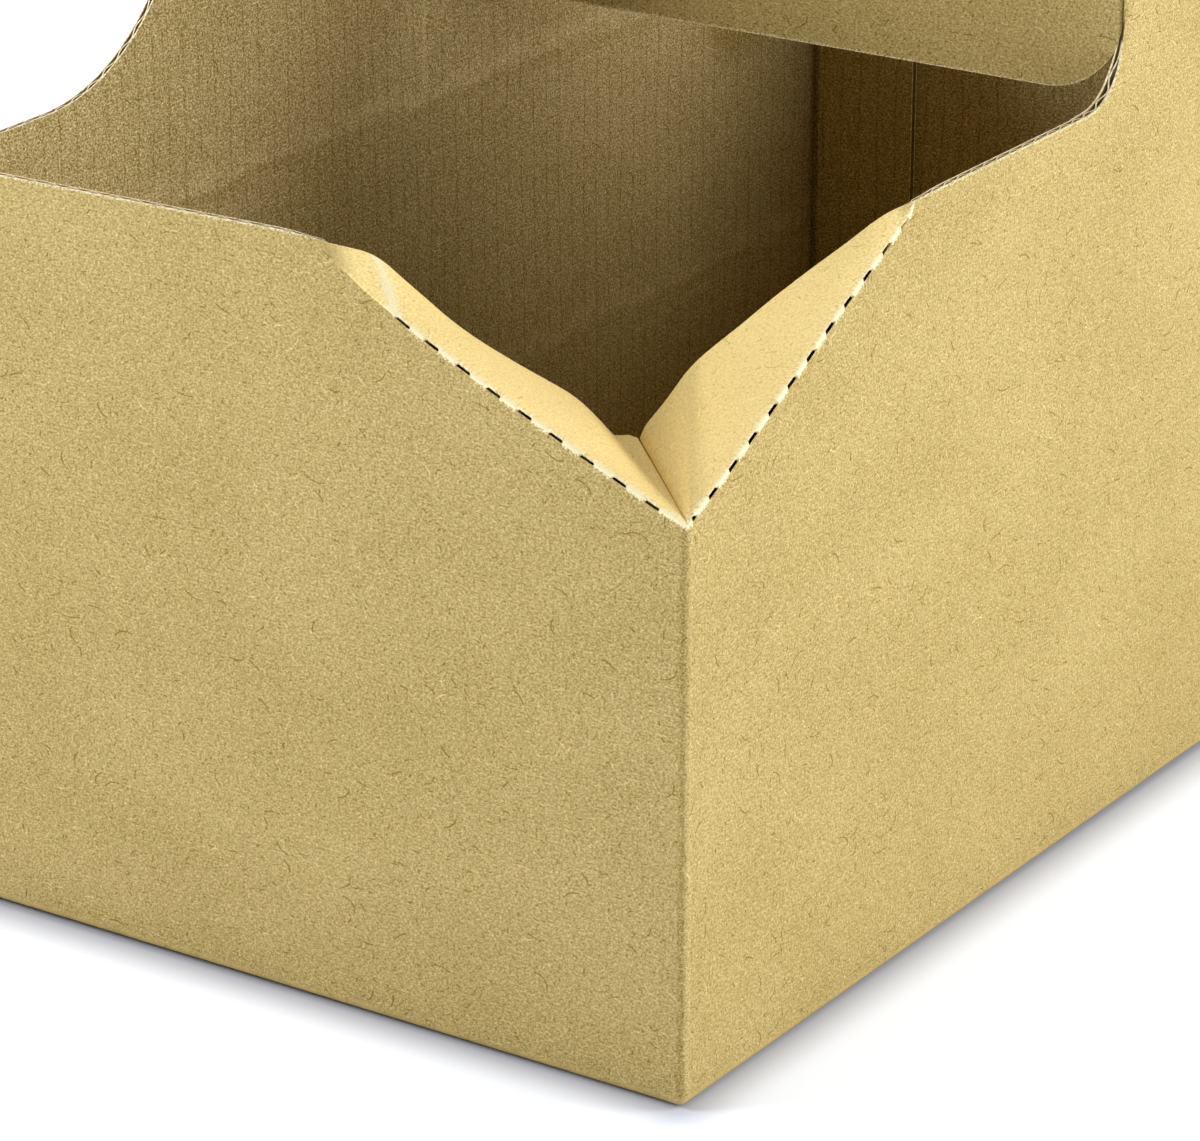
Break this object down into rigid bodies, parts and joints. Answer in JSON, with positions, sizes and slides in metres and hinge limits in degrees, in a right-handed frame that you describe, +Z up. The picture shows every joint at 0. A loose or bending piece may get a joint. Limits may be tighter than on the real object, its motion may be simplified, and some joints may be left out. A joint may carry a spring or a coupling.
{
  "type": "cup carrier",
  "caption": "Open-topped corrugated board carrier for drink cups, with a double cross panel as its handle and one perforated corner pushed in.",
  "frame": {"origin": "centre of the underside of the base, on the plane it stands on", "axes": "+Z up, +Y along the carrier's length towards the back wall, +X across its width towards the right side wall; the front wall with the pushed-in corner faces -Y"},
  "size_m": [0.116, 0.217, 0.207],
  "materials": {
    "kraft_board": "uncoated brown kraft liner, matt"
  },
  "bodies": {
    "root": {"carton": "kraft_board"}
  },
  "joints": []
}
